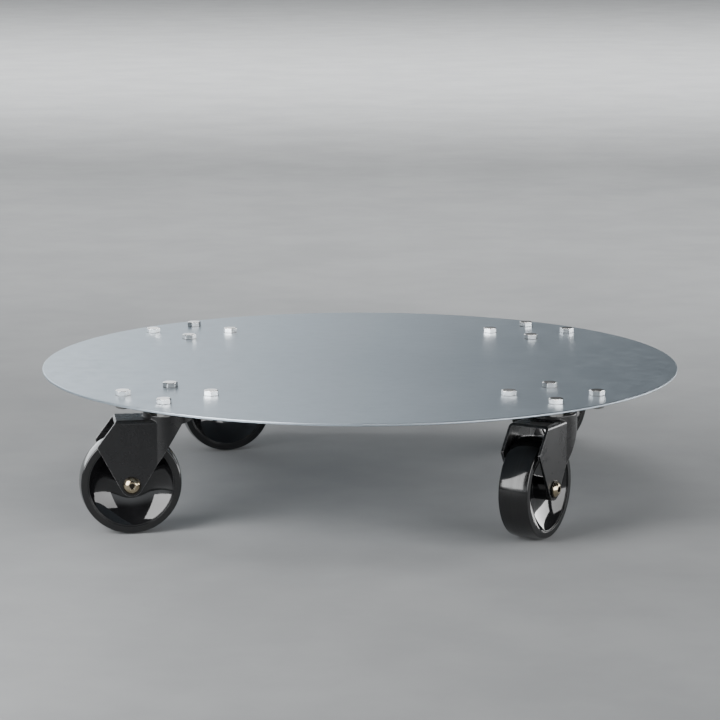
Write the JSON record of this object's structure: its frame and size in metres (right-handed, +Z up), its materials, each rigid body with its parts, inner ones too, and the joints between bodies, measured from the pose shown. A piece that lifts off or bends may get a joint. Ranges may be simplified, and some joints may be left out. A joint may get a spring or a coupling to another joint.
{
  "type": "wheel dolly",
  "caption": "Low round wheel dolly: a flat disc deck on swivel casters, for moving a tyre or a mounted wheel across a workshop floor.",
  "frame": {"origin": "on the floor under the middle of the round deck", "axes": "+Z up, -Y towards the front, +X to the right seen from the front"},
  "size_m": [0.5, 0.5, 0.106],
  "materials": {
    "deck_metal": "satin sheet, fine grain",
    "zinc_plate": "bright zinc plated pressing",
    "bright_zinc": "bright plated",
    "bearing_steel": "polished",
    "black_gloss_steel": "smooth gloss black coating",
    "yellow_zinc": "pale yellow zinc, worn bright",
    "axle_steel": "turned",
    "bush_nylon": "natural nylon",
    "wheel_core_plastic": "gloss moulded",
    "tread_rubber": "smooth semi-gloss tread"
  },
  "bodies": {
    "root": {"deck_plate": "deck_metal", "front_left_mounting_plate": "zinc_plate", "front_left_deck_bolts": "bright_zinc", "front_left_deck_nuts": "bright_zinc", "front_left_kingpin": "zinc_plate", "front_left_upper_bearing_balls": "bearing_steel", "front_left_lower_bearing_balls": "bearing_steel", "front_left_lower_race": "zinc_plate", "front_right_mounting_plate": "zinc_plate", "front_right_deck_bolts": "bright_zinc", "front_right_deck_nuts": "bright_zinc", "front_right_kingpin": "zinc_plate", "front_right_upper_bearing_balls": "bearing_steel", "front_right_lower_bearing_balls": "bearing_steel", "front_right_lower_race": "zinc_plate", "rear_left_mounting_plate": "zinc_plate", "rear_left_deck_bolts": "bright_zinc", "rear_left_deck_nuts": "bright_zinc", "rear_left_kingpin": "zinc_plate", "rear_left_upper_bearing_balls": "bearing_steel", "rear_left_lower_bearing_balls": "bearing_steel", "rear_left_lower_race": "zinc_plate", "rear_right_mounting_plate": "zinc_plate", "rear_right_deck_bolts": "bright_zinc", "rear_right_deck_nuts": "bright_zinc", "rear_right_kingpin": "zinc_plate", "rear_right_upper_bearing_balls": "bearing_steel", "rear_right_lower_bearing_balls": "bearing_steel", "rear_right_lower_race": "zinc_plate"},
    "front_left_swivel_fork": {"front_left_fork": "black_gloss_steel", "front_left_axle_bolt": "yellow_zinc", "front_left_axle_nut": "yellow_zinc", "front_left_axle_sleeve": "axle_steel"},
    "front_left_wheel": {"front_left_wheel_bush": "bush_nylon", "front_left_wheel_core": "wheel_core_plastic", "front_left_tyre": "tread_rubber"},
    "front_right_swivel_fork": {"front_right_fork": "black_gloss_steel", "front_right_axle_bolt": "yellow_zinc", "front_right_axle_nut": "yellow_zinc", "front_right_axle_sleeve": "axle_steel"},
    "front_right_wheel": {"front_right_wheel_bush": "bush_nylon", "front_right_wheel_core": "wheel_core_plastic", "front_right_tyre": "tread_rubber"},
    "rear_left_swivel_fork": {"rear_left_fork": "black_gloss_steel", "rear_left_axle_bolt": "yellow_zinc", "rear_left_axle_nut": "yellow_zinc", "rear_left_axle_sleeve": "axle_steel"},
    "rear_left_wheel": {"rear_left_wheel_bush": "bush_nylon", "rear_left_wheel_core": "wheel_core_plastic", "rear_left_tyre": "tread_rubber"},
    "rear_right_swivel_fork": {"rear_right_fork": "black_gloss_steel", "rear_right_axle_bolt": "yellow_zinc", "rear_right_axle_nut": "yellow_zinc", "rear_right_axle_sleeve": "axle_steel"},
    "rear_right_wheel": {"rear_right_wheel_bush": "bush_nylon", "rear_right_wheel_core": "wheel_core_plastic", "rear_right_tyre": "tread_rubber"}
  },
  "joints": [
    {"name": "front_left_swivel", "type": "hinge", "parent": "root", "child": "front_left_swivel_fork", "pos_m": [-0.14248, -0.14248, 0.088], "axis": [0, 0, 1], "continuous": true},
    {"name": "front_left_roll", "type": "hinge", "parent": "front_left_swivel_fork", "child": "front_left_wheel", "pos_m": [-0.17017, -0.14662, 0.038], "axis": [0.1478, -0.989, 0], "continuous": true},
    {"name": "front_right_swivel", "type": "hinge", "parent": "root", "child": "front_right_swivel_fork", "pos_m": [0.14248, -0.14248, 0.088], "axis": [0, 0, 1], "continuous": true},
    {"name": "front_right_roll", "type": "hinge", "parent": "front_right_swivel_fork", "child": "front_right_wheel", "pos_m": [0.12848, -0.16673, 0.038], "axis": [0.866, -0.5, 0], "continuous": true},
    {"name": "rear_left_swivel", "type": "hinge", "parent": "root", "child": "rear_left_swivel_fork", "pos_m": [-0.14248, 0.14248, 0.088], "axis": [0, 0, 1], "continuous": true},
    {"name": "rear_left_roll", "type": "hinge", "parent": "rear_left_swivel_fork", "child": "rear_left_wheel", "pos_m": [-0.11531, 0.14926, 0.038], "axis": [-0.2419, 0.9703, 0], "continuous": true},
    {"name": "rear_right_swivel", "type": "hinge", "parent": "root", "child": "rear_right_swivel_fork", "pos_m": [0.14248, 0.14248, 0.088], "axis": [0, 0, 1], "continuous": true},
    {"name": "rear_right_roll", "type": "hinge", "parent": "rear_right_swivel_fork", "child": "rear_right_wheel", "pos_m": [0.16228, 0.16228, 0.038], "axis": [-0.7071, 0.7071, 0], "continuous": true}
  ]
}
